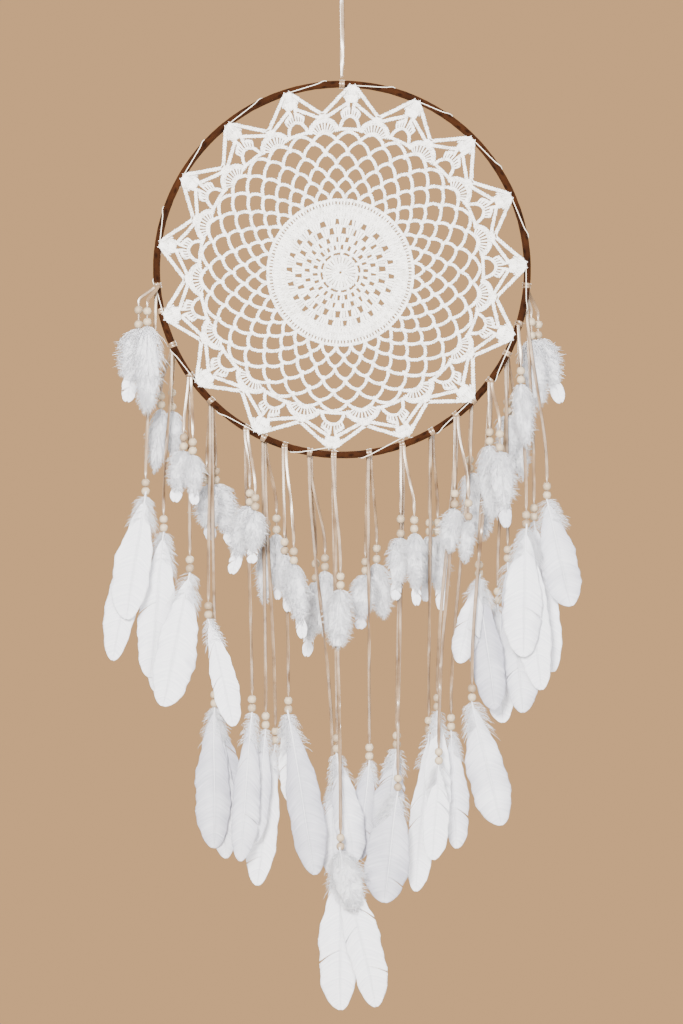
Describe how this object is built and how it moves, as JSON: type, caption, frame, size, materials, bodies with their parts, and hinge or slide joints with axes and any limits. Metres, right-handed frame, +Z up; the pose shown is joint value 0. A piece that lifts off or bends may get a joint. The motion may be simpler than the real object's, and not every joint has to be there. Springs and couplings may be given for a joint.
{
  "type": "dream catcher",
  "caption": "Crochet doily laced into a suede-wound hoop that hangs from a satin ribbon, with dangles of ribbon, wooden beads and white feathers below.",
  "frame": {"origin": "middle of the peg that the ribbon loop hangs on", "axes": "+Z up, -Y to the front, +X to the right seen from the front"},
  "size_m": [0.5009, 0.0552, 1.1158],
  "materials": {
    "satin_ribbon": "glossy satin ribbon, champagne cream",
    "ring_steel": "plain steel wire ring",
    "brown_suede": "dark brown suede lace wound edge to edge",
    "white_cotton": "white crochet cotton",
    "lacing_cotton": "cream cotton thread",
    "bead_wood": "pale natural wood, unvarnished",
    "white_feather": "white goose feathers and marabou plumes"
  },
  "bodies": {
    "hanger": {"hanging_ribbon": "satin_ribbon"},
    "hoop": {"hoop_core": "ring_steel", "hoop_suede": "brown_suede", "crochet_doily": "white_cotton", "lacing_thread": "lacing_cotton", "ribbon_knots": "satin_ribbon"},
    "dangle_01": {"ribbons_01": "satin_ribbon", "beads_01": "bead_wood", "feathers_01": "white_feather"},
    "dangle_02": {"ribbons_02": "satin_ribbon", "beads_02": "bead_wood", "feathers_02": "white_feather"},
    "dangle_03": {"ribbons_03": "satin_ribbon", "beads_03": "bead_wood", "feathers_03": "white_feather"},
    "dangle_04": {"ribbons_04": "satin_ribbon", "beads_04": "bead_wood", "feathers_04": "white_feather"},
    "dangle_05": {"ribbons_05": "satin_ribbon", "beads_05": "bead_wood", "feathers_05": "white_feather"},
    "dangle_06": {"ribbons_06": "satin_ribbon", "beads_06": "bead_wood", "feathers_06": "white_feather"},
    "dangle_07": {"ribbons_07": "satin_ribbon", "beads_07": "bead_wood", "feathers_07": "white_feather"},
    "dangle_08": {"ribbons_08": "satin_ribbon", "beads_08": "bead_wood", "feathers_08": "white_feather"},
    "dangle_09": {"ribbons_09": "satin_ribbon", "beads_09": "bead_wood", "feathers_09": "white_feather"},
    "dangle_10": {"ribbons_10": "satin_ribbon", "beads_10": "bead_wood", "feathers_10": "white_feather"},
    "dangle_11": {"ribbons_11": "satin_ribbon", "beads_11": "bead_wood", "feathers_11": "white_feather"},
    "dangle_12": {"ribbons_12": "satin_ribbon", "beads_12": "bead_wood", "feathers_12": "white_feather"},
    "dangle_13": {"ribbons_13": "satin_ribbon", "beads_13": "bead_wood", "feathers_13": "white_feather"},
    "dangle_14": {"ribbons_14": "satin_ribbon", "beads_14": "bead_wood", "feathers_14": "white_feather"},
    "dangle_15": {"ribbons_15": "satin_ribbon", "beads_15": "bead_wood", "feathers_15": "white_feather"},
    "dangle_16": {"ribbons_16": "satin_ribbon", "beads_16": "bead_wood", "feathers_16": "white_feather"},
    "dangle_17": {"ribbons_17": "satin_ribbon", "beads_17": "bead_wood", "feathers_17": "white_feather"},
    "dangle_18": {"ribbons_18": "satin_ribbon", "beads_18": "bead_wood", "feathers_18": "white_feather"}
  },
  "joints": [
    {"name": "hoop_turn", "type": "hinge", "parent": "hanger", "child": "hoop", "pos_m": [0, 0, -0.13], "axis": [0, 0, 1], "range_deg": [-90, 90]},
    {"name": "swing_01", "type": "hinge", "parent": "hoop", "child": "dangle_01", "pos_m": [-0.19575, -0.005, -0.34713], "axis": [-1, 0, 0], "range_deg": [0, 30]},
    {"name": "swing_02", "type": "hinge", "parent": "hoop", "child": "dangle_02", "pos_m": [-0.17951, 0.005, -0.40992], "axis": [-1, 0, 0], "range_deg": [-30, 0]},
    {"name": "swing_03", "type": "hinge", "parent": "hoop", "child": "dangle_03", "pos_m": [-0.16096, -0.005, -0.44271], "axis": [-1, 0, 0], "range_deg": [0, 30]},
    {"name": "swing_04", "type": "hinge", "parent": "hoop", "child": "dangle_04", "pos_m": [-0.13895, 0.005, -0.46895], "axis": [-1, 0, 0], "range_deg": [-30, 0]},
    {"name": "swing_05", "type": "hinge", "parent": "hoop", "child": "dangle_05", "pos_m": [-0.10121, -0.005, -0.49843], "axis": [-1, 0, 0], "range_deg": [0, 30]},
    {"name": "swing_06", "type": "hinge", "parent": "hoop", "child": "dangle_06", "pos_m": [-0.08304, 0.005, -0.50809], "axis": [-1, 0, 0], "range_deg": [-30, 0]},
    {"name": "swing_07", "type": "hinge", "parent": "hoop", "child": "dangle_07", "pos_m": [-0.06072, -0.005, -0.51688], "axis": [-1, 0, 0], "range_deg": [0, 30]},
    {"name": "swing_08", "type": "hinge", "parent": "hoop", "child": "dangle_08", "pos_m": [-0.03412, 0.005, -0.52351], "axis": [-1, 0, 0], "range_deg": [-30, 0]},
    {"name": "swing_09", "type": "hinge", "parent": "hoop", "child": "dangle_09", "pos_m": [-0.00857, -0.005, -0.52631], "axis": [-1, 0, 0], "range_deg": [0, 30]},
    {"name": "swing_10", "type": "hinge", "parent": "hoop", "child": "dangle_10", "pos_m": [0.02905, 0.005, -0.52434], "axis": [-1, 0, 0], "range_deg": [-30, 0]},
    {"name": "swing_11", "type": "hinge", "parent": "hoop", "child": "dangle_11", "pos_m": [0.06397, -0.005, -0.51579], "axis": [-1, 0, 0], "range_deg": [0, 30]},
    {"name": "swing_12", "type": "hinge", "parent": "hoop", "child": "dangle_12", "pos_m": [0.09527, 0.005, -0.50186], "axis": [-1, 0, 0], "range_deg": [-30, 0]},
    {"name": "swing_13", "type": "hinge", "parent": "hoop", "child": "dangle_13", "pos_m": [0.12098, -0.005, -0.48484], "axis": [-1, 0, 0], "range_deg": [0, 30]},
    {"name": "swing_14", "type": "hinge", "parent": "hoop", "child": "dangle_14", "pos_m": [0.13895, 0.005, -0.46895], "axis": [-1, 0, 0], "range_deg": [-30, 0]},
    {"name": "swing_15", "type": "hinge", "parent": "hoop", "child": "dangle_15", "pos_m": [0.15693, -0.005, -0.44826], "axis": [-1, 0, 0], "range_deg": [0, 30]},
    {"name": "swing_16", "type": "hinge", "parent": "hoop", "child": "dangle_16", "pos_m": [0.17508, 0.005, -0.41921], "axis": [-1, 0, 0], "range_deg": [-30, 0]},
    {"name": "swing_17", "type": "hinge", "parent": "hoop", "child": "dangle_17", "pos_m": [0.18791, -0.005, -0.38745], "axis": [-1, 0, 0], "range_deg": [0, 30]},
    {"name": "swing_18", "type": "hinge", "parent": "hoop", "child": "dangle_18", "pos_m": [0.19575, 0.005, -0.34713], "axis": [-1, 0, 0], "range_deg": [-30, 0]}
  ]
}
